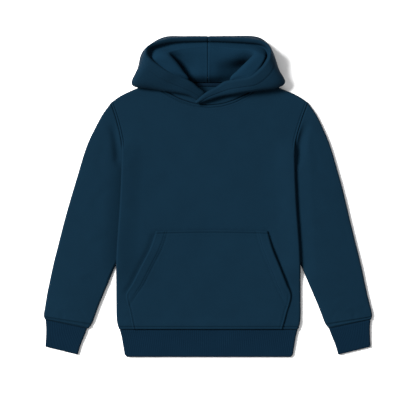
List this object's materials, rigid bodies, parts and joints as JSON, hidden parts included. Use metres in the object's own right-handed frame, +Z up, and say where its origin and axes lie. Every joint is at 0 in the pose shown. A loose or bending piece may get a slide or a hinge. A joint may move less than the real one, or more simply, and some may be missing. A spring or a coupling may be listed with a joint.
{
  "type": "toddler hoodie",
  "caption": "Toddler's navy fleece pullover hoodie laid flat on its back, with a lined hood, kangaroo pocket, long sleeves, ribbed cuffs and ribbed hem.",
  "frame": {"origin": "centre of the garment's outline on the surface that it lies on", "axes": "+X to the wearer's left, +Y from hem to hood, +Z up from the surface, out of the garment's front"},
  "size_m": [0.524, 0.513, 0.046],
  "materials": {
    "fleece": "matt navy brushed fleece",
    "hood_lining": "matt navy jersey face",
    "rib": "matt navy fine rib knit",
    "tape": "matt navy woven tape"
  },
  "bodies": {
    "root": {"front_body": "fleece", "back_body": "fleece", "sleeve_left": "fleece", "sleeve_right": "fleece", "pocket": "fleece", "hood_outer_left": "fleece", "hood_outer_right": "fleece", "hood_lining_left": "hood_lining", "hood_lining_right": "hood_lining", "hem_band": "rib", "cuff_left": "rib", "cuff_right": "rib", "neck_tape": "tape"}
  },
  "joints": []
}
